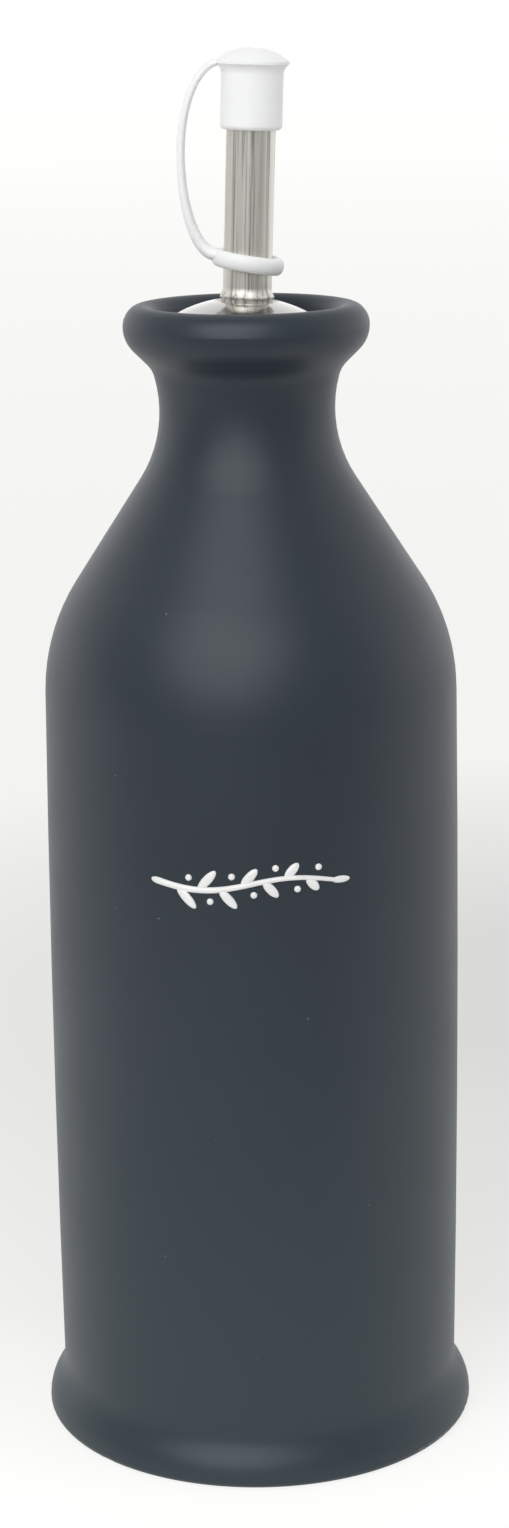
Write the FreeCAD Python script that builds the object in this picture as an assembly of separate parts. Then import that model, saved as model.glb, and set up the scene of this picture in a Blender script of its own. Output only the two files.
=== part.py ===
"""Stoneware vinegar bottle with a steel pourer and a white push-on cap held by its own tether.

Millimetres, +Z up. The origin is the centre of the foot, on the surface the bottle stands on, and
+X is the viewer's right. Five pieces, one STEP each: the bottle is one thrown body, the dome, the
collar and the spout are the steel pourer, and the cap, its tether and the tether's ring are one
moulding. The pourer leans a little in the neck, so its pieces share one leaning frame.
"""
import FreeCAD, Part
import math
import os
from FreeCAD import Placement, Rotation, Vector

# Bottle, outside. The turns are measured from the upright.
BOTTLE_HEIGHT = 215.0
BODY_RADIUS = 38.43          # at the two ends of the body's wall
BARREL_TURN = 0.72           # how far the wall leans out at its ends, which bows it like a barrel
FOOT_OVERHANG = 3.0          # how far the foot stands out past the body
FOOT_EDGE_ROUND = 1.5
FOOT_TURN = 37.0             # steepest turn of the foot's S-shaped flare
SHOULDER_ROUND = 38.5
SHOULDER_TURN = 33.0
NECK_RADIUS = 16.1           # at the waist, where the neck is thinnest
NECK_ROUND = 23.4
LIP_RADIUS = 22.5
LIP_NECK_TURN = 15.3         # how far the neck's curve runs on above the waist
LIP_UNDER_TURN = 45.3
LIP_UNDER_FILLET = 5.3
LIP_LOWER_ROUND = 6.1
LIP_OUTER_ROUND = 4.2
LIP_OUTER_TURN = 49.0
LIP_CREST_ROUND = 2.9
MOUTH_STEEPNESS = 84.0       # of the mouth's wall, below the horizontal

# Bottle, underneath
FOOT_RING_WIDTH = 5.0
FOOT_RING_DEPTH = 1.2
FOOT_RING_BEVEL = 0.8

# Pourer. Heights are along its own axis, from the seat that the dome rests on.
POURER_LEAN = 2.1            # degrees, towards +X
SEAT_BELOW_LIP = 5.2         # from the lip's crest down to the seat
SEAT_CLEARANCE = 0.3
SEAT_LEDGE = 0.3
DOME_RADIUS = 15.5
DOME_RIM = 1.47
DOME_ROUND = 27.2
DISH_DEPTH = 0.55            # of the shallow dish in the dome that the collar stands in
DISH_WIDTH = 1.35            # from the collar to the dish's edge
DISH_FLAT = 0.15             # flat floor left round the collar
COLLAR_INSET = 0.3           # how far the collar stays inside the foot of the tube's flare
COLLAR_HEIGHT = 1.2
COLLAR_EDGE_ROUND = 0.15
TUBE_RADIUS = 4.42
TUBE_SHOWN = 29.8            # from the collar up to the cap
TUBE_END_ROUND = 0.3
FLARE_OUT = 0.52
FLARE_HEIGHT = 1.9
FLARE_EDGE = 0.3

# Cap
CAP_WALL = 1.05
CAP_CLEARANCE = 0.13
CAP_HEIGHT = 14.35
CAP_FOOT_ROUND = 0.9
CAP_SOCKET_DEPTH = 9.6
BRIM_OUT = 1.02
BRIM_THICKNESS = 0.45
BRIM_FLARE = 1.7             # height of the curve under the brim
CROWN_HEIGHT = 2.35          # of the low dome above the brim
GATE_MARK_RADIUS = 0.4       # of the moulding's little flat in the middle of the crown

# Tether and its ring, moulded on the cap
RING_CLEARANCE = 0.3
RING_THICKNESS = 2.0
RING_LAND = 0.1              # that the straight passage for the tube takes off inside the ring
RING_HEIGHT = 3.05
RING_ABOVE_DISH = 7.6        # from the dish's floor up to the ring's middle
RING_TILT = 7.9              # degrees, the tether's side up
TETHER_RISE = 0.4            # how far above the ring's middle the tether leaves it
TETHER_BULGE = 6.9           # how far the bow stands out past its two ends
TETHER_WIDEST = 20.0         # from the ring's middle up to the bow's furthest point
TETHER_ROOT = (2.4, 3.0)     # thickness in the bow's plane, width across it
TETHER_MIDDLE = (1.5, 2.2)
TETHER_TIP = (1.3, 2.6)
TETHER_SPREAD = 3.4          # how much wider the root gets where it runs into the ring
SPREAD_SHARE = 0.15          # of the bow's way, over which that fades out
TETHER_SECTIONS = 25

# Places worked out from the sizes above
FOOT_RADIUS = BODY_RADIUS + FOOT_OVERHANG
SEAT_HEIGHT = BOTTLE_HEIGHT - SEAT_BELOW_LIP
SEAT_RADIUS = DOME_RADIUS + SEAT_CLEARANCE
FLARE_RADIUS = TUBE_RADIUS + FLARE_OUT
COLLAR_RADIUS = FLARE_RADIUS - COLLAR_INSET
DOME_CENTRE = DOME_RIM - math.sqrt(DOME_ROUND ** 2 - DOME_RADIUS ** 2)
DISH_RADIUS = COLLAR_RADIUS + DISH_WIDTH
DISH_EDGE = DOME_CENTRE + math.sqrt(DOME_ROUND ** 2 - DISH_RADIUS ** 2)
DISH_FLOOR = DISH_EDGE - DISH_DEPTH
SPOUT_FOOT = DISH_FLOOR + COLLAR_HEIGHT
CAP_FOOT = SPOUT_FOOT + TUBE_SHOWN
SPOUT_TOP = CAP_FOOT + CAP_SOCKET_DEPTH
SOCKET_RADIUS = TUBE_RADIUS + CAP_CLEARANCE
CAP_RADIUS = SOCKET_RADIUS + CAP_WALL
BRIM_RADIUS = CAP_RADIUS + BRIM_OUT
BRIM_LEVEL = CAP_FOOT + CAP_HEIGHT - CROWN_HEIGHT - BRIM_THICKNESS
RING_INNER = TUBE_RADIUS + RING_CLEARANCE
RING_MIDDLE = RING_INNER - RING_LAND + RING_THICKNESS / 2
RING_LEVEL = DISH_FLOOR + RING_ABOVE_DISH

AXIS = Vector(0, 0, 1)
LEANING = Placement(Vector(0, 0, SEAT_HEIGHT), Rotation(Vector(0, 1, 0), POURER_LEAN))


class Outline:
    """A half outline in the XZ plane, drawn by a pen that moves on from where it is.

    Arcs are tangent to the stroke before them. A positive turn is to the pen's left.
    """

    def __init__(self, radius, height, heading=0.0):
        self.at = Vector(radius, 0, height)
        self.heading = math.radians(heading)
        self.edges = []

    def line_to(self, radius, height):
        end = Vector(radius, 0, height)
        self.heading = math.atan2(end.z - self.at.z, end.x - self.at.x)
        self.edges.append(Part.makeLine(self.at, end))
        self.at = end
        return self

    def line(self, length):
        ahead = Vector(math.cos(self.heading), 0, math.sin(self.heading))
        end = self.at + ahead * length
        return self.line_to(end.x, end.z)

    def line_down_to(self, height):
        return self.line((height - self.at.z) / math.sin(self.heading))

    def arc(self, radius, turn):
        half_turn = math.radians(turn) / 2
        along = self.heading + half_turn
        chord = Vector(math.cos(along), 0, math.sin(along)) * (2 * radius * math.sin(abs(half_turn)))
        end = self.at + chord
        return self.arc_to(end.x, end.z)

    def arc_to(self, radius, height, arriving=None):
        """An arc to a point: tangent to the stroke before it or, from a corner, arriving on a heading."""
        end = Vector(radius, 0, height)
        chord = end - self.at
        along = math.atan2(chord.z, chord.x)
        if arriving is not None:
            self.heading = 2 * along - math.radians(arriving)
        half_turn = math.remainder(along - self.heading, math.tau)
        bulge = Vector(chord.z, 0, -chord.x) * (math.tan(half_turn / 2) / 2)
        self.edges.append(Part.Arc(self.at, self.at + chord / 2 + bulge, end).toShape())
        self.at = end
        self.heading += 2 * half_turn
        return self

    def revolved(self):
        """The solid swept round the axis: the outline starts on the axis and ends there."""
        edges = self.edges + [Part.makeLine(self.at, self.edges[0].Vertexes[0].Point)]
        return Part.Face(Part.Wire(edges)).revolve(Vector(), AXIS, 360)


def s_bend(drop, first, second, turn, lean):
    """Straight run and rise of an S-bend from a wall at a lean to an upright one, drop further in."""
    turn, lean = math.radians(turn), math.radians(lean)
    curved = first * (math.cos(lean) - math.cos(turn)) + second * (1 - math.cos(turn))
    run = (drop - curved) / math.sin(turn)
    rise = first * (math.sin(turn) - math.sin(lean)) + second * math.sin(turn)
    return run, rise + run * math.cos(turn)


def make_bottle():
    foot_round = FOOT_OVERHANG / (1 + math.cos(math.radians(BARREL_TURN))
                                  - 2 * math.cos(math.radians(FOOT_TURN)))
    slope_run, slope_rise = s_bend(BODY_RADIUS - NECK_RADIUS, SHOULDER_ROUND, NECK_ROUND,
                                   SHOULDER_TURN, BARREL_TURN)

    # The lip is laid out first, because the neck hangs from it and the body fills what is left.
    neck_turn, under_turn = math.radians(LIP_NECK_TURN), math.radians(LIP_UNDER_TURN)
    outer_turn = math.radians(LIP_OUTER_TURN)
    overhang = (NECK_ROUND * (1 - math.cos(neck_turn))
                + LIP_UNDER_FILLET * (math.cos(neck_turn) - math.cos(under_turn))
                + LIP_LOWER_ROUND * (1 - math.cos(under_turn)))
    under_run = (LIP_RADIUS - NECK_RADIUS - overhang) / math.sin(under_turn)
    lip_rise = (NECK_ROUND * math.sin(neck_turn)
                + LIP_UNDER_FILLET * (math.sin(under_turn) - math.sin(neck_turn))
                + under_run * math.cos(under_turn)
                + LIP_LOWER_ROUND * math.sin(under_turn)
                + LIP_OUTER_ROUND * math.sin(outer_turn)
                + LIP_CREST_ROUND * (1 - math.sin(outer_turn)))
    shoulder_level = BOTTLE_HEIGHT - lip_rise - slope_rise
    mouth_floor = SEAT_HEIGHT + SEAT_RADIUS * math.sin(math.radians(POURER_LEAN)) + SEAT_LEDGE

    ring_inside = FOOT_RADIUS - FOOT_EDGE_ROUND - FOOT_RING_WIDTH
    outline = Outline(0, FOOT_RING_DEPTH)
    outline.line_to(ring_inside - FOOT_RING_BEVEL, FOOT_RING_DEPTH)
    outline.line_to(ring_inside, 0)
    outline.line_to(FOOT_RADIUS - FOOT_EDGE_ROUND, 0)
    outline.arc(FOOT_EDGE_ROUND, 90)
    outline.arc(foot_round, FOOT_TURN).arc(foot_round, -FOOT_TURN - BARREL_TURN)
    outline.arc_to(BODY_RADIUS, shoulder_level)
    outline.arc(SHOULDER_ROUND, SHOULDER_TURN - BARREL_TURN).line(slope_run)
    outline.arc(NECK_ROUND, -SHOULDER_TURN - LIP_NECK_TURN)
    outline.arc(LIP_UNDER_FILLET, LIP_NECK_TURN - LIP_UNDER_TURN).line(under_run)
    outline.arc(LIP_LOWER_ROUND, LIP_UNDER_TURN)
    outline.arc(LIP_OUTER_ROUND, LIP_OUTER_TURN)
    outline.arc(LIP_CREST_ROUND, 90 - LIP_OUTER_TURN + MOUTH_STEEPNESS)
    outline.line_down_to(mouth_floor).line_to(0, mouth_floor)
    seat = Part.makeCylinder(SEAT_RADIUS, SEAT_BELOW_LIP)
    seat.Placement = LEANING
    return outline.revolved().cut(seat)


def make_dome():
    rim_slope = math.degrees(math.asin(DOME_RADIUS / DOME_ROUND))
    outline = Outline(0, DISH_FLOOR).line_to(COLLAR_RADIUS + DISH_FLAT, DISH_FLOOR)
    outline.arc_to(DISH_RADIUS, DISH_EDGE)
    outline.arc_to(DOME_RADIUS, DOME_RIM, arriving=-rim_slope)
    outline.line_to(DOME_RADIUS, 0).line_to(0, 0)
    return outline.revolved()


def make_collar():
    outline = Outline(0, DISH_FLOOR).line_to(COLLAR_RADIUS, DISH_FLOOR)
    outline.line_to(COLLAR_RADIUS, SPOUT_FOOT - COLLAR_EDGE_ROUND)
    outline.arc(COLLAR_EDGE_ROUND, 90).line_to(0, SPOUT_FOOT)
    return outline.revolved()


def make_spout():
    outline = Outline(0, SPOUT_FOOT).line_to(FLARE_RADIUS, SPOUT_FOOT)
    outline.line_to(FLARE_RADIUS, SPOUT_FOOT + FLARE_EDGE)
    outline.arc_to(TUBE_RADIUS, SPOUT_FOOT + FLARE_HEIGHT, arriving=90)
    outline.line_to(TUBE_RADIUS, SPOUT_TOP - TUBE_END_ROUND)
    outline.arc(TUBE_END_ROUND, 90).line_to(0, SPOUT_TOP)
    return outline.revolved()


def make_cap_body():
    inside = CAP_RADIUS - CAP_FOOT_ROUND
    outline = Outline(0, CAP_FOOT).line_to(inside, CAP_FOOT)
    outline.arc(CAP_FOOT_ROUND, 90).line_to(CAP_RADIUS, BRIM_LEVEL - BRIM_FLARE)
    outline.arc_to(BRIM_RADIUS, BRIM_LEVEL)
    outline.line_to(BRIM_RADIUS, BRIM_LEVEL + BRIM_THICKNESS)
    outline.arc_to(GATE_MARK_RADIUS, CAP_FOOT + CAP_HEIGHT, arriving=180)
    outline.line_to(0, CAP_FOOT + CAP_HEIGHT)
    return outline.revolved()


def make_ring():
    centre = Vector(RING_MIDDLE, 0, 0)
    oval = Part.Ellipse(centre + AXIS * (RING_HEIGHT / 2),
                        centre + Vector(RING_THICKNESS / 2, 0, 0), centre)
    ring = Part.Face(Part.Wire(oval.toShape())).revolve(Vector(), AXIS, 360)
    ring.Placement = Placement(Vector(0, 0, RING_LEVEL), Rotation(Vector(0, 1, 0), RING_TILT))
    return ring


def tether_section(share):
    """One oval section of the tether, a share of the way along its bow from the ring to the brim."""
    root = RING_LEVEL + RING_MIDDLE * math.sin(math.radians(RING_TILT)) + TETHER_RISE
    tip = BRIM_LEVEL + BRIM_THICKNESS / 2
    widest = RING_LEVEL + TETHER_WIDEST
    reach = widest - root if share < 0.5 else tip - widest
    angle = math.pi * (share - 0.5)
    centre = Vector(-RING_MIDDLE - TETHER_BULGE * math.cos(angle), 0, widest + reach * math.sin(angle))
    outward = Vector(-reach * math.cos(angle), 0, TETHER_BULGE * math.sin(angle)).normalize()
    end = TETHER_ROOT if share < 0.5 else TETHER_TIP
    from_end = 2 * min(share, 1 - share)
    blend = from_end ** 2 * (3 - 2 * from_end)
    thick = end[0] + (TETHER_MIDDLE[0] - end[0]) * blend
    spread = TETHER_SPREAD * max(0, 1 - share / SPREAD_SHARE) ** 2
    wide = end[1] + (TETHER_MIDDLE[1] - end[1]) * blend + spread
    oval = Part.Ellipse(centre + Vector(0, wide / 2, 0), centre + outward * (thick / 2), centre)
    return Part.Wire(oval.toShape())


def make_cap():
    shares = [index / (TETHER_SECTIONS - 1) for index in range(TETHER_SECTIONS)]
    tether = Part.makeLoft([tether_section(share) for share in shares], True)
    whole = make_cap_body().fuse([make_ring(), tether])
    socket = Part.makeCylinder(SOCKET_RADIUS, CAP_SOCKET_DEPTH, Vector(0, 0, CAP_FOOT))
    passage = Part.makeCylinder(RING_INNER, CAP_FOOT - DISH_FLOOR, Vector(0, 0, DISH_FLOOR))
    return whole.cut([socket, passage]).removeSplitter()


def main():
    os.makedirs("parts", exist_ok=True)
    make_bottle().exportStep("parts/bottle.step")
    pourer = {"dome": make_dome, "collar": make_collar, "spout": make_spout, "cap": make_cap}
    for node, make in pourer.items():
        piece = make()
        piece.Placement = LEANING
        piece.exportStep("parts/%s.step" % node)


main()
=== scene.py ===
"""Looks for the stoneware vinegar bottle: glaze, steel, silicone, a raised sprig, and the studio."""

import math

import bmesh
import bpy
from mathutils import Matrix, Vector


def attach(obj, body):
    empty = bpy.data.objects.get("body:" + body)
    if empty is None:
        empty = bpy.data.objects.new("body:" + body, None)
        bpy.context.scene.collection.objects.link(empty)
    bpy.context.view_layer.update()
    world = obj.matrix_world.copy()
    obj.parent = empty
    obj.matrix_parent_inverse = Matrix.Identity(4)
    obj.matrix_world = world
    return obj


# Metres. The pourer leans in the neck, so everything that follows it turns about the same foot.
WALL_RADIUS = 0.0387            # of the bottle's wall at the sprig's height
POURER_LEAN = math.radians(2.1)
POURER_FOOT = Vector((0, 0, 0.2098))

# The sprig. Places along it are measured round the wall from the bottle's front.
SPRIG_MIDDLE = -0.0012
SPRIG_HEIGHT = 0.1164
SPRIG_HALF_LENGTH = 0.0163
SPRIG_WAVE = 0.0011
SLIP_RELIEF = 0.00045           # how far the slip stands off the wall
STEM_DROPS = 61                 # drops that run together into the stem
STEM_DROP_HALF_LENGTH = 0.0015
STEM_ROOT_HALF = 0.00064        # half widths of the stem at its two ends
STEM_TIP_HALF = 0.0004
TIP_AHEAD = 0.0009              # of the last drop, past the stem's end
TIP_HALF_LENGTH = 0.0018
TIP_HALF_WIDTH = 0.00065
LEAVES = 7
FIRST_LEAF = 0.78               # before the middle, in half lengths of the sprig
LEAF_SPACING = 0.24             # in half lengths of the sprig
LEAF_HALF_LENGTH = 0.0026
LEAF_SHRINK = 0.00016           # from each leaf to the next
LEAF_HALF_WIDTH = 0.00085
LEAF_LEAN = math.radians(48)
BERRY_AHEAD = 0.0022            # along the stem from the leaf's root
BERRY_OFF_STEM = 0.0021
BERRY_RADIUS = 0.00062

# the streaks' turn sets where the painted reflections on the tube fall
STREAK_TURN = math.radians(60)  # of the steel's streaks about the tube
STREAK_STRETCH = 0.012          # the pattern's change along the tube, to its change across

# The studio
WORLD_TURN = math.radians(12)
FLOOR_HALF_SIZE = 6.0
SHADED_SPOT = (0.08, 0.25)      # the middle of the soft shadow behind the bottle
CAMERA_BACK = 0.56124
CAMERA_HEIGHT = 0.27254
CAMERA_DOWN = math.radians(14.376)
CAMERA_ASIDE = math.radians(0.0486)
CAMERA_TURN = math.radians(-0.746)
CAMERA_LENS = 72.44             # millimetres, as is the sensor
CAMERA_SENSOR = 36.0

# Sockets of a Mix node that mixes colours, which share their names with its other sockets
FIRST_COLOUR = 6
SECOND_COLOUR = 7
MIXED_COLOUR = 2


# Node building

def nodes_of(owner):
    owner.use_nodes = True
    tree = owner.node_tree
    tree.nodes.clear()
    return tree


def node(tree, kind, values=None, **settings):
    """A new node, with its properties as keywords and its sockets' values as a dictionary."""
    made = tree.nodes.new(kind)
    for name, value in settings.items():
        setattr(made, name, value)
    for name, value in (values or {}).items():
        made.inputs[name].default_value = value
    return made


def join(tree, source, target):
    tree.links.new(source, target)


def new_group(name, inputs, outputs):
    """A shader group with float, colour or vector sockets given as {name: (type, default)}."""
    group = bpy.data.node_groups.new(name, "ShaderNodeTree")
    for label, (kind, default) in inputs.items():
        socket = group.interface.new_socket(label, in_out="INPUT", socket_type=kind)
        if default is not None:
            socket.default_value = default
    for label, kind in outputs.items():
        group.interface.new_socket(label, in_out="OUTPUT", socket_type=kind)
    return group, group.nodes.new("NodeGroupInput"), group.nodes.new("NodeGroupOutput")


def place_group(tree, group, values=None):
    placed = tree.nodes.new("ShaderNodeGroup")
    placed.node_tree = group
    for name, value in (values or {}).items():
        placed.inputs[name].default_value = value
    return placed


def principled(material, **values):
    """The material's tree with a Principled shader; keywords are its sockets with _ for a space."""
    tree = nodes_of(material)
    shader = node(tree, "ShaderNodeBsdfPrincipled")
    for name, value in values.items():
        shader.inputs[name.replace("_", " ")].default_value = value
    surface = node(tree, "ShaderNodeOutputMaterial")
    join(tree, shader.outputs[0], surface.inputs["Surface"])
    return tree, shader


def object_place(tree, turn=(0, 0, 0), scale=(1, 1, 1), location=(0, 0, 0)):
    """Object coordinates, turned, stretched and moved."""
    place = node(tree, "ShaderNodeTexCoord")
    mapping = node(tree, "ShaderNodeMapping",
                   {"Rotation": turn, "Scale": scale, "Location": location})
    join(tree, place.outputs["Object"], mapping.inputs["Vector"])
    return mapping.outputs["Vector"]


def bump_from(tree, height, shader, strength, distance):
    """Raises the surface by a height mask, through the shader's normal."""
    bump = node(tree, "ShaderNodeBump", {"Strength": strength, "Distance": distance})
    join(tree, height, bump.inputs["Height"])
    join(tree, bump.outputs["Normal"], shader.inputs["Normal"])


def ranged(tree, mask, low, high):
    """The mask's 0 to 1 spread over low to high."""
    spread = node(tree, "ShaderNodeMapRange", {"To Min": low, "To Max": high})
    join(tree, mask, spread.inputs["Value"])
    return spread.outputs["Result"]


def mixed(tree, mask, first, second):
    """Two colours mixed by a mask; the first may be an output of another node."""
    mix = node(tree, "ShaderNodeMix", {SECOND_COLOUR: second}, data_type="RGBA")
    join(tree, mask, mix.inputs["Factor"])
    if isinstance(first, tuple):
        mix.inputs[FIRST_COLOUR].default_value = first
    else:
        join(tree, first, mix.inputs[FIRST_COLOUR])
    return mix.outputs[MIXED_COLOUR]


def worked(tree, operation, first, second):
    """One arithmetic node on two outputs of other nodes."""
    made = node(tree, "ShaderNodeMath", operation=operation)
    join(tree, first, made.inputs[0])
    join(tree, second, made.inputs[1])
    return made.outputs[0]


# Effects that several finishes share

def mottle_group():
    """Slow cloudy change over a surface: a mask round 0.5, and a colour mixed by it."""
    group, given, out = new_group(
        "mottle",
        {"Vector": ("NodeSocketVector", None), "Patch Size": ("NodeSocketFloat", 0.02),
         "Contrast": ("NodeSocketFloat", 1.0), "Dark": ("NodeSocketColor", (0, 0, 0, 1)),
         "Light": ("NodeSocketColor", (1, 1, 1, 1))},
        {"Color": "NodeSocketColor", "Mask": "NodeSocketFloat"})
    scale = node(group, "ShaderNodeMath", {0: 1.0}, operation="DIVIDE")
    clouds = node(group, "ShaderNodeTexNoise", {"Detail": 3.0, "Roughness": 0.55})
    centred = node(group, "ShaderNodeMath", {1: 0.5}, operation="SUBTRACT")
    spread = node(group, "ShaderNodeMath", operation="MULTIPLY")
    back = node(group, "ShaderNodeMath", {1: 0.5}, operation="ADD", use_clamp=True)
    mix = node(group, "ShaderNodeMix", data_type="RGBA")
    join(group, given.outputs["Patch Size"], scale.inputs[1])
    join(group, given.outputs["Vector"], clouds.inputs["Vector"])
    join(group, scale.outputs[0], clouds.inputs["Scale"])
    join(group, clouds.outputs["Fac"], centred.inputs[0])
    join(group, centred.outputs[0], spread.inputs[0])
    join(group, given.outputs["Contrast"], spread.inputs[1])
    join(group, spread.outputs[0], back.inputs[0])
    join(group, back.outputs[0], mix.inputs["Factor"])
    join(group, given.outputs["Dark"], mix.inputs[FIRST_COLOUR])
    join(group, given.outputs["Light"], mix.inputs[SECOND_COLOUR])
    join(group, mix.outputs[MIXED_COLOUR], out.inputs["Color"])
    join(group, back.outputs[0], out.inputs["Mask"])
    return group


def grain_group():
    """Fine bump from two noises, one for the grain itself and one for slow unevenness under it."""
    group, given, out = new_group(
        "grain",
        {"Vector": ("NodeSocketVector", None), "Grain Scale": ("NodeSocketFloat", 2500.0),
         "Grain Depth": ("NodeSocketFloat", 0.1), "Wave Scale": ("NodeSocketFloat", 60.0),
         "Wave Depth": ("NodeSocketFloat", 0.3)},
        {"Height": "NodeSocketFloat"})
    fine = node(group, "ShaderNodeTexNoise", {"Detail": 2.0, "Roughness": 0.6})
    slow = node(group, "ShaderNodeTexNoise", {"Detail": 1.0, "Roughness": 0.4})
    fine_part = node(group, "ShaderNodeMath", operation="MULTIPLY")
    slow_part = node(group, "ShaderNodeMath", operation="MULTIPLY")
    total = node(group, "ShaderNodeMath", operation="ADD")
    join(group, given.outputs["Vector"], fine.inputs["Vector"])
    join(group, given.outputs["Grain Scale"], fine.inputs["Scale"])
    join(group, given.outputs["Vector"], slow.inputs["Vector"])
    join(group, given.outputs["Wave Scale"], slow.inputs["Scale"])
    join(group, fine.outputs["Fac"], fine_part.inputs[0])
    join(group, given.outputs["Grain Depth"], fine_part.inputs[1])
    join(group, slow.outputs["Fac"], slow_part.inputs[0])
    join(group, given.outputs["Wave Depth"], slow_part.inputs[1])
    join(group, fine_part.outputs[0], total.inputs[0])
    join(group, slow_part.outputs[0], total.inputs[1])
    join(group, total.outputs[0], out.inputs["Height"])
    return group


def speck_group():
    """Small round specks: one where a speck is, nothing between them."""
    group, given, out = new_group(
        "specks",
        {"Vector": ("NodeSocketVector", None), "Spacing": ("NodeSocketFloat", 0.004),
         "Size": ("NodeSocketFloat", 0.06), "Share": ("NodeSocketFloat", 0.5)},
        {"Mask": "NodeSocketFloat"})
    scale = node(group, "ShaderNodeMath", {0: 1.0}, operation="DIVIDE")
    cells = node(group, "ShaderNodeTexVoronoi", {"Randomness": 1.0})
    near = node(group, "ShaderNodeMath", operation="LESS_THAN")
    split = node(group, "ShaderNodeSeparateColor")
    chosen = node(group, "ShaderNodeMath", operation="LESS_THAN")
    both = node(group, "ShaderNodeMath", operation="MULTIPLY")
    join(group, given.outputs["Spacing"], scale.inputs[1])
    join(group, given.outputs["Vector"], cells.inputs["Vector"])
    join(group, scale.outputs[0], cells.inputs["Scale"])
    join(group, cells.outputs["Distance"], near.inputs[0])
    join(group, given.outputs["Size"], near.inputs[1])
    join(group, cells.outputs["Color"], split.inputs[0])
    join(group, split.outputs[0], chosen.inputs[0])
    join(group, given.outputs["Share"], chosen.inputs[1])
    join(group, near.outputs[0], both.inputs[0])
    join(group, chosen.outputs[0], both.inputs[1])
    join(group, both.outputs[0], out.inputs["Mask"])
    return group


def grain_and_reflection_streak_group():
    """Streaks drawn along the vector's Z: a mask that changes round the tube and hardly along it. It
    makes both the steel's drawn grain and its painted reflections.
    """
    group, given, out = new_group(
        "grain_and_reflection_streaks",
        {"Vector": ("NodeSocketVector", None), "Streak Width": ("NodeSocketFloat", 0.001),
         "Contrast": ("NodeSocketFloat", 1.0), "Level": ("NodeSocketFloat", 0.5)},
        {"Mask": "NodeSocketFloat"})
    scale = node(group, "ShaderNodeMath", {0: 1.0}, operation="DIVIDE")
    streaks = node(group, "ShaderNodeTexNoise", {"Detail": 4.0, "Roughness": 0.6, "Distortion": 0.2})
    centred = node(group, "ShaderNodeMath", operation="SUBTRACT")
    spread = node(group, "ShaderNodeMath", operation="MULTIPLY")
    back = node(group, "ShaderNodeMath", {1: 0.5}, operation="ADD", use_clamp=True)
    join(group, given.outputs["Streak Width"], scale.inputs[1])
    join(group, given.outputs["Vector"], streaks.inputs["Vector"])
    join(group, scale.outputs[0], streaks.inputs["Scale"])
    join(group, streaks.outputs["Fac"], centred.inputs[0])
    join(group, given.outputs["Level"], centred.inputs[1])
    join(group, centred.outputs[0], spread.inputs[0])
    join(group, given.outputs["Contrast"], spread.inputs[1])
    join(group, spread.outputs[0], back.inputs[0])
    join(group, back.outputs[0], out.inputs["Mask"])
    return group


# Finishes

def slate_glaze():
    """Matt blue-black glaze, greener and lighter near the foot, with pinholes and a little dust; the
    lightness near the foot is painted bounce light from the floor.
    """
    material = bpy.data.materials.new("slate_glaze")
    tree, shader = principled(material, Specular_IOR_Level=0.45, Specular_Tint=(0.93, 0.965, 1.0, 1))
    place = object_place(tree)
    tone = place_group(tree, groups["mottle"], {
        "Patch Size": 0.045, "Contrast": 2.2,
        "Dark": (0.0210, 0.0310, 0.0400, 1), "Light": (0.0265, 0.0350, 0.0490, 1)})
    pits = place_group(tree, groups["specks"], {"Spacing": 0.0035, "Size": 0.045, "Share": 0.3})
    dust = place_group(tree, groups["specks"], {"Spacing": 0.009, "Size": 0.022, "Share": 0.4})
    sheen = place_group(tree, groups["mottle"], {"Patch Size": 0.018, "Contrast": 1.5})
    grain = place_group(tree, groups["grain"], {"Grain Scale": 2600.0, "Grain Depth": 0.12,
                                                "Wave Scale": 90.0, "Wave Depth": 0.5})
    for user in (tone, pits, dust, sheen, grain):
        join(tree, place, user.inputs["Vector"])
    split = node(tree, "ShaderNodeSeparateXYZ")
    join(tree, place, split.inputs[0])
    # painted light: near the foot the glaze turns greener and lighter, the lightness standing for bounce
    # light from the floor
    foot_tint_and_floor_bounce = node(tree, "ShaderNodeMapRange",
                   {"From Min": 0.02, "From Max": 0.12, "To Min": 0.85, "To Max": 0.0})
    join(tree, split.outputs["Z"], foot_tint_and_floor_bounce.inputs["Value"])
    glaze = mixed(tree, foot_tint_and_floor_bounce.outputs["Result"], tone.outputs["Color"], (0.0262, 0.0410, 0.0510, 1))
    pitted = mixed(tree, pits.outputs["Mask"], glaze, (0.010, 0.014, 0.018, 1))
    dusted = mixed(tree, dust.outputs["Mask"], pitted, (0.13, 0.14, 0.15, 1))
    join(tree, dusted, shader.inputs["Base Color"])
    join(tree, ranged(tree, sheen.outputs["Mask"], 0.40, 0.47), shader.inputs["Roughness"])
    bump_from(tree, grain.outputs["Height"], shader, 0.25, 0.0002)
    return material


def polished_steel():
    """The dome: bright steel with faint turning marks and smudges."""
    material = bpy.data.materials.new("polished_steel")
    tree, shader = principled(material, Metallic=1.0)
    place = object_place(tree, **pourer_frame)
    smudge = place_group(tree, groups["mottle"], {
        "Patch Size": 0.006, "Contrast": 2.0,
        "Dark": (0.56, 0.555, 0.54, 1), "Light": (0.66, 0.655, 0.64, 1)})
    turned = node(tree, "ShaderNodeTexWave",
                  {"Scale": 900.0, "Distortion": 0.6, "Detail": 2.0},
                  wave_type="RINGS", rings_direction="Z")
    join(tree, place, smudge.inputs["Vector"])
    join(tree, place, turned.inputs["Vector"])
    join(tree, smudge.outputs["Color"], shader.inputs["Base Color"])
    join(tree, ranged(tree, smudge.outputs["Mask"], 0.10, 0.18), shader.inputs["Roughness"])
    bump_from(tree, turned.outputs["Fac"], shader, 0.04, 0.00005)
    return material


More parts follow.
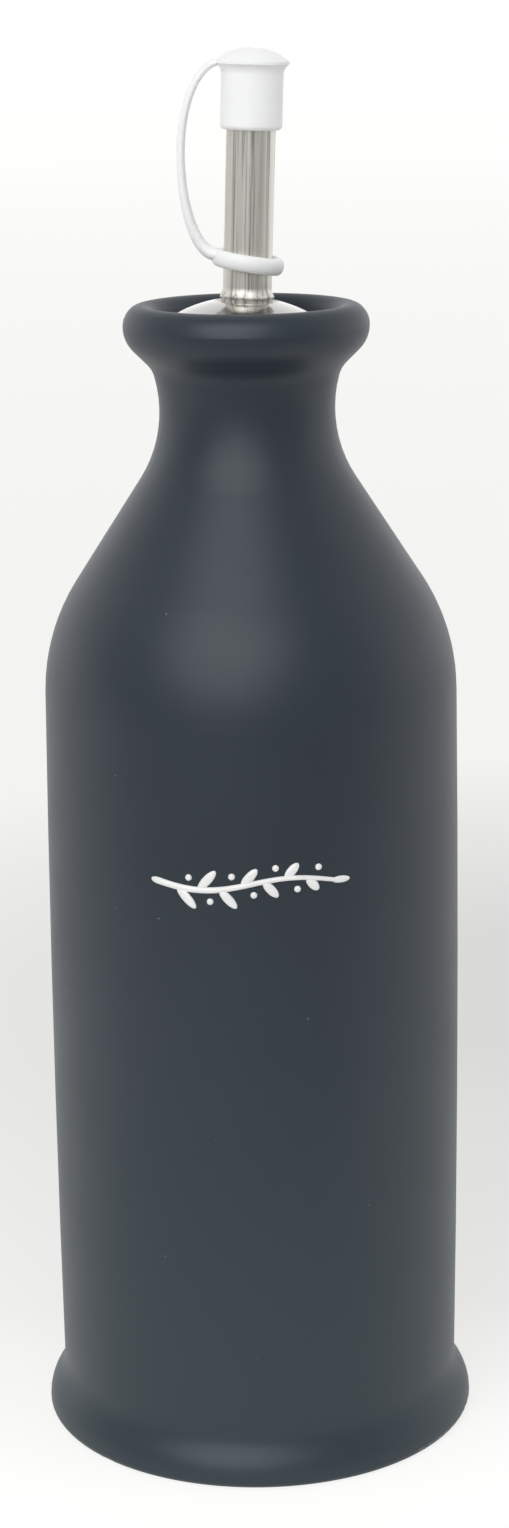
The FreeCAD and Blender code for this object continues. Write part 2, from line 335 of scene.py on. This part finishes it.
def satin_steel():
    """The tube and its collar: steel drawn along its length, with fine streaks of its grain, and wide
    light and dark streaks and dark stripes that are painted reflections of the surroundings.
    """
    material = bpy.data.materials.new("satin_steel")
    tree, shader = principled(material, Metallic=1.0, Anisotropic=0.6)
    round_tube = node(tree, "ShaderNodeTangent", direction_type="RADIAL", axis="Z")
    join(tree, round_tube.outputs["Tangent"], shader.inputs["Tangent"])
    turned = object_place(tree, **pourer_frame)
    drawn = node(tree, "ShaderNodeMapping",
                 {"Rotation": (0, 0, STREAK_TURN), "Scale": (1, 1, STREAK_STRETCH)})
    join(tree, turned, drawn.inputs["Vector"])
    place = drawn.outputs["Vector"]
    # painted reflection: the wide light and dark streaks and the dark stripes stand for the surroundings
    # mirrored round the tube; only the finest streaks are the drawn grain
    broad_reflection = place_group(tree, groups["grain_and_reflection_streaks"], {"Streak Width": 0.0035, "Contrast": 1.8})
    dark_reflection_lines = place_group(tree, groups["grain_and_reflection_streaks"],
                        {"Streak Width": 0.0007, "Contrast": 9.0, "Level": 0.56})
    fine = place_group(tree, groups["grain_and_reflection_streaks"], {"Streak Width": 0.0006, "Contrast": 2.0})
    for user in (broad_reflection, dark_reflection_lines, fine):
        join(tree, place, user.inputs["Vector"])
    tone = mixed(tree, broad_reflection.outputs["Mask"], (0.76, 0.745, 0.685, 1), (0.96, 0.945, 0.88, 1))
    lined = mixed(tree, ranged(tree, dark_reflection_lines.outputs["Mask"], 0.0, 0.75), tone, (0.26, 0.25, 0.22, 1))
    hair = mixed(tree, ranged(tree, fine.outputs["Mask"], 0.25, 0.0), lined, (0.3, 0.29, 0.26, 1))
    join(tree, hair, shader.inputs["Base Color"])
    join(tree, ranged(tree, fine.outputs["Mask"], 0.42, 0.55), shader.inputs["Roughness"])
    bump_from(tree, fine.outputs["Mask"], shader, 0.25, 0.00005)
    return material


def white_silicone():
    """The cap: soft white with a faint bloom."""
    material = bpy.data.materials.new("white_silicone")
    tree, shader = principled(material, Specular_IOR_Level=0.35, Sheen_Weight=0.35,
                              Sheen_Roughness=0.4)
    place = object_place(tree, **pourer_frame)
    bloom = place_group(tree, groups["mottle"], {
        "Patch Size": 0.004, "Contrast": 1.4,
        "Dark": (0.925, 0.93, 0.935, 1), "Light": (0.95, 0.955, 0.955, 1)})
    grain = place_group(tree, groups["grain"], {"Grain Scale": 5200.0, "Grain Depth": 0.25,
                                                "Wave Scale": 420.0, "Wave Depth": 0.4})
    join(tree, place, bloom.inputs["Vector"])
    join(tree, place, grain.inputs["Vector"])
    join(tree, bloom.outputs["Color"], shader.inputs["Base Color"])
    join(tree, ranged(tree, bloom.outputs["Mask"], 0.42, 0.52), shader.inputs["Roughness"])
    bump_from(tree, grain.outputs["Height"], shader, 0.12, 0.0001)
    return material


def white_slip():
    """The sprig: trailed slip under a thin clear glaze."""
    material = bpy.data.materials.new("white_slip")
    tree, shader = principled(material, Coat_Roughness=0.12)
    place = object_place(tree)
    tone = place_group(tree, groups["mottle"], {
        "Patch Size": 0.0025, "Contrast": 2.0,
        "Dark": (0.86, 0.865, 0.855, 1), "Light": (0.94, 0.945, 0.935, 1)})
    pits = place_group(tree, groups["specks"], {"Spacing": 0.0009, "Size": 0.08, "Share": 0.35})
    grain = place_group(tree, groups["grain"], {"Grain Scale": 6000.0, "Grain Depth": 0.1,
                                                "Wave Scale": 900.0, "Wave Depth": 0.7})
    for user in (tone, pits, grain):
        join(tree, place, user.inputs["Vector"])
    pitted = mixed(tree, pits.outputs["Mask"], tone.outputs["Color"], (0.5, 0.5, 0.48, 1))
    join(tree, pitted, shader.inputs["Base Color"])
    join(tree, ranged(tree, tone.outputs["Mask"], 0.35, 0.22), shader.inputs["Roughness"])
    join(tree, ranged(tree, tone.outputs["Mask"], 0.35, 0.6), shader.inputs["Coat Weight"])
    bump_from(tree, grain.outputs["Height"], shader, 0.2, 0.0001)
    return material


def finish_node(name, material):
    """Gives a solid of the part its finish."""
    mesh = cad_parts[name].data
    mesh.materials.clear()
    mesh.materials.append(material)


# The sprig of trailed slip

def slip_drop(shape, along, up, lean, halves):
    """A drop of slip on the wall: its place along and up, its lean, its half length and half width."""
    stretch = Matrix.Diagonal((halves[0], SLIP_RELIEF, halves[1], 1))
    on_wall = Matrix.Rotation(along / WALL_RADIUS, 4, "Z") @ Matrix.Translation((0, -WALL_RADIUS, up))
    bmesh.ops.create_uvsphere(shape, u_segments=20, v_segments=12, radius=1.0,
                              matrix=on_wall @ Matrix.Rotation(-lean, 4, "Y") @ stretch)


def stem_height(along):
    """Height of the stem's wave at a place along the wall."""
    return SPRIG_HEIGHT + SPRIG_WAVE * math.sin(math.pi * (along - SPRIG_MIDDLE) / SPRIG_HALF_LENGTH)


def slip_stem(shape):
    for step in range(STEM_DROPS):
        share = step / (STEM_DROPS - 1)
        along = SPRIG_MIDDLE + SPRIG_HALF_LENGTH * (2 * share - 1)
        slope = math.atan(math.pi * SPRIG_WAVE / SPRIG_HALF_LENGTH
                          * math.cos(math.pi * (along - SPRIG_MIDDLE) / SPRIG_HALF_LENGTH))
        half_width = STEM_ROOT_HALF - (STEM_ROOT_HALF - STEM_TIP_HALF) * share
        slip_drop(shape, along, stem_height(along), slope, (STEM_DROP_HALF_LENGTH, half_width))
    tip = SPRIG_MIDDLE + SPRIG_HALF_LENGTH
    slip_drop(shape, tip + TIP_AHEAD, stem_height(tip), 0, (TIP_HALF_LENGTH, TIP_HALF_WIDTH))


def slip_leaves(shape):
    """Leaves on both sides by turns, each with a berry across the stem from it."""
    for leaf in range(LEAVES):
        root = SPRIG_MIDDLE + SPRIG_HALF_LENGTH * (LEAF_SPACING * leaf - FIRST_LEAF)
        side = 1 if leaf % 2 else -1
        half_length = LEAF_HALF_LENGTH - LEAF_SHRINK * leaf
        lean = side * LEAF_LEAN
        slip_drop(shape, root + half_length * math.cos(lean),
                  stem_height(root) + half_length * math.sin(lean), lean, (half_length, LEAF_HALF_WIDTH))
        berry = root + BERRY_AHEAD
        slip_drop(shape, berry, stem_height(berry) - side * BERRY_OFF_STEM, 0,
                  (BERRY_RADIUS, BERRY_RADIUS))


def slip_sprig():
    shape = bmesh.new()
    slip_stem(shape)
    slip_leaves(shape)
    bmesh.ops.recalc_face_normals(shape, faces=shape.faces)
    mesh = bpy.data.meshes.new("slip_sprig")
    shape.to_mesh(mesh)
    shape.free()
    mesh.shade_smooth()
    mesh.materials.append(white_slip())
    sprig = bpy.data.objects.new("slip_sprig", mesh)
    bpy.context.collection.objects.link(sprig)
    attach(sprig, "root")


# Studio

def studio_world():
    """Light from behind and the sides, less from in front and from overhead; the camera sees white."""
    world = bpy.data.worlds.new("studio")
    bpy.context.scene.world = world
    tree = nodes_of(world)
    place = node(tree, "ShaderNodeTexCoord")
    turned = node(tree, "ShaderNodeMapping", {"Rotation": (0, 0, WORLD_TURN)})
    split = node(tree, "ShaderNodeSeparateXYZ")
    ramp = node(tree, "ShaderNodeMapRange",
                {"From Min": -0.5, "From Max": 0.4, "To Min": 0.3, "To Max": 1.25})
    ramp.interpolation_type = "SMOOTHSTEP"
    overhead = node(tree, "ShaderNodeMapRange",
                    {"From Min": 0.1, "From Max": 0.8, "To Min": 1.0, "To Max": 0.55})
    level = node(tree, "ShaderNodeMath", operation="MULTIPLY")
    light = node(tree, "ShaderNodeBackground")
    white = node(tree, "ShaderNodeBackground", {"Color": (1, 1, 1, 1)})
    path = node(tree, "ShaderNodeLightPath")
    mix = node(tree, "ShaderNodeMixShader")
    surface = node(tree, "ShaderNodeOutputWorld")
    join(tree, place.outputs["Generated"], turned.inputs["Vector"])
    join(tree, turned.outputs["Vector"], split.inputs[0])
    join(tree, split.outputs["Y"], ramp.inputs["Value"])
    join(tree, split.outputs["Z"], overhead.inputs["Value"])
    join(tree, ramp.outputs["Result"], level.inputs[0])
    join(tree, overhead.outputs["Result"], level.inputs[1])
    join(tree, level.outputs[0], light.inputs["Color"])
    join(tree, path.outputs["Is Camera Ray"], mix.inputs[0])
    join(tree, light.outputs[0], mix.inputs[1])
    join(tree, white.outputs[0], mix.inputs[2])
    join(tree, mix.outputs[0], surface.inputs["Surface"])


def floor_distance(tree, centre):
    """How far a place on the floor is from a centre."""
    place = object_place(tree, location=(-centre[0], -centre[1], 0))
    length = node(tree, "ShaderNodeVectorMath", operation="LENGTH")
    join(tree, place, length.inputs[0])
    return length.outputs["Value"]


def floor_ramp(tree, value, start, end, low, high):
    """Runs from low to high while the value runs from start to end."""
    ramp = node(tree, "ShaderNodeMapRange",
                {"From Min": start, "From Max": end, "To Min": low, "To Max": high})
    join(tree, value, ramp.inputs["Value"])
    return ramp.outputs["Result"]


def pale_floor():
    """A big pale sheet, partly lit near the bottle, where it takes shadows, and only glowing far off.

    In front of the bottle it is darker for reflections and light than it looks to the camera. To the
    camera it is brighter just in front of the bottle and darker behind it: painted light and painted
    shade.
    """
    shape = bmesh.new()
    bmesh.ops.create_grid(shape, x_segments=1, y_segments=1, size=FLOOR_HALF_SIZE)
    mesh = bpy.data.meshes.new("floor")
    shape.to_mesh(mesh)
    shape.free()
    floor = bpy.data.objects.new("floor", mesh)
    bpy.context.collection.objects.link(floor)
    material = bpy.data.materials.new("pale_floor")
    tree, shader = principled(material, Roughness=0.8, Specular_IOR_Level=0.1)
    surface = next(n for n in tree.nodes if n.type == "OUTPUT_MATERIAL")

    around = floor_distance(tree, (0, 0))
    aside = floor_distance(tree, SHADED_SPOT)
    split = node(tree, "ShaderNodeSeparateXYZ")
    join(tree, object_place(tree), split.inputs[0])
    front = floor_ramp(tree, split.outputs["Y"], -0.45, -0.1, 0.2, 1.0)
    # painted light and shade: to the camera the floor is brighter just in front of the bottle and darker
    # behind it
    front_light_back_shade = floor_ramp(tree, split.outputs["Y"], -0.045, 0.042, 1.14, 0.93)
    near = floor_ramp(tree, around, 0.05, 0.5, 0.975, 0.968)
    beyond = floor_ramp(tree, around, 0.8, 4.5, 0.968, 1.075)
    shaded = floor_ramp(tree, aside, 0.05, 0.26, 0.78, 1.0)
    level = worked(tree, "MULTIPLY", worked(tree, "MAXIMUM", near, beyond), shaded)

    path = node(tree, "ShaderNodeLightPath")
    glow = node(tree, "ShaderNodeMix")
    join(tree, path.outputs["Is Camera Ray"], glow.inputs["Factor"])
    join(tree, worked(tree, "MULTIPLY", level, front), glow.inputs["A"])
    join(tree, worked(tree, "MULTIPLY", level, front_light_back_shade), glow.inputs["B"])
    seen = worked(tree, "MAXIMUM", path.outputs["Is Camera Ray"], path.outputs["Is Glossy Ray"])
    seen = worked(tree, "MAXIMUM", seen, path.outputs["Is Transmission Ray"])
    share = worked(tree, "MULTIPLY", seen, floor_ramp(tree, around, 0.04, 0.5, 0.75, 1.0))
    paper = mixed(tree, worked(tree, "MAXIMUM", front, path.outputs["Is Camera Ray"]),
                  (0.18, 0.18, 0.178, 1), (0.9, 0.9, 0.89, 1))
    join(tree, paper, shader.inputs["Base Color"])
    white = node(tree, "ShaderNodeEmission", {"Color": (1, 1, 0.985, 1)})
    join(tree, glow.outputs["Result"], white.inputs["Strength"])
    mix = node(tree, "ShaderNodeMixShader")
    join(tree, share, mix.inputs[0])
    join(tree, shader.outputs[0], mix.inputs[1])
    join(tree, white.outputs[0], mix.inputs[2])
    join(tree, mix.outputs[0], surface.inputs["Surface"])
    mesh.materials.append(material)


def soft_lamp(name, place, aim, size, watts):
    """A round area lamp at a place, turned to face another."""
    lamp = bpy.data.lights.new(name, "AREA")
    lamp.shape = "DISK"
    lamp.size = size
    lamp.energy = watts
    held = bpy.data.objects.new(name, lamp)
    held.location = place
    held.rotation_euler = (Vector(aim) - Vector(place)).to_track_quat("-Z", "Y").to_euler()
    bpy.context.collection.objects.link(held)


def camera():
    """Stands in front of the bottle, looks down a little, and is turned a little about its view."""
    down, aside, turn = CAMERA_DOWN, CAMERA_ASIDE, CAMERA_TURN
    forward = Vector((math.sin(aside) * math.cos(down), math.cos(aside) * math.cos(down),
                      -math.sin(down)))
    level = Vector((math.cos(aside), -math.sin(aside), 0))
    upward = level.cross(forward)
    right = level * math.cos(turn) + upward * math.sin(turn)
    upward = right.cross(forward)
    lens = bpy.data.cameras.new("camera")
    lens.lens = CAMERA_LENS
    lens.sensor_width = CAMERA_SENSOR
    held = bpy.data.objects.new("camera", lens)
    turned = Matrix((right, upward, -forward)).transposed().to_4x4()
    held.matrix_world = Matrix.Translation((0, -CAMERA_BACK, CAMERA_HEIGHT)) @ turned
    bpy.context.collection.objects.link(held)
    bpy.context.scene.camera = held


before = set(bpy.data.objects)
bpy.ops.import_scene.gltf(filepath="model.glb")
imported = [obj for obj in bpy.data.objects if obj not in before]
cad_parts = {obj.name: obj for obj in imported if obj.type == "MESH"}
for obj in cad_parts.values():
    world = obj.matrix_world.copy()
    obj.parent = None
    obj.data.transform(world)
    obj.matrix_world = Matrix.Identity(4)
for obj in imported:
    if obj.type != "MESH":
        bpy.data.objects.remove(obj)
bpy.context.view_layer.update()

groups = {"mottle": mottle_group(), "grain": grain_group(), "specks": speck_group(),
          "grain_and_reflection_streaks": grain_and_reflection_streak_group()}
upright = Matrix.Rotation(-POURER_LEAN, 3, "Y")
pourer_frame = {"turn": (0, -POURER_LEAN, 0), "location": -(upright @ POURER_FOOT)}
finish_node("bottle", slate_glaze())
finish_node("dome", polished_steel())
satin = satin_steel()
finish_node("collar", satin)
finish_node("spout", satin)
finish_node("cap", white_silicone())
slip_sprig()

studio_world()
pale_floor()
soft_lamp("front_softbox", place=(-0.28, -0.93, 0.86), aim=(0, 0, 0.16), size=1.4, watts=12.6)
camera()
bpy.context.scene.view_settings.view_transform = "Standard"
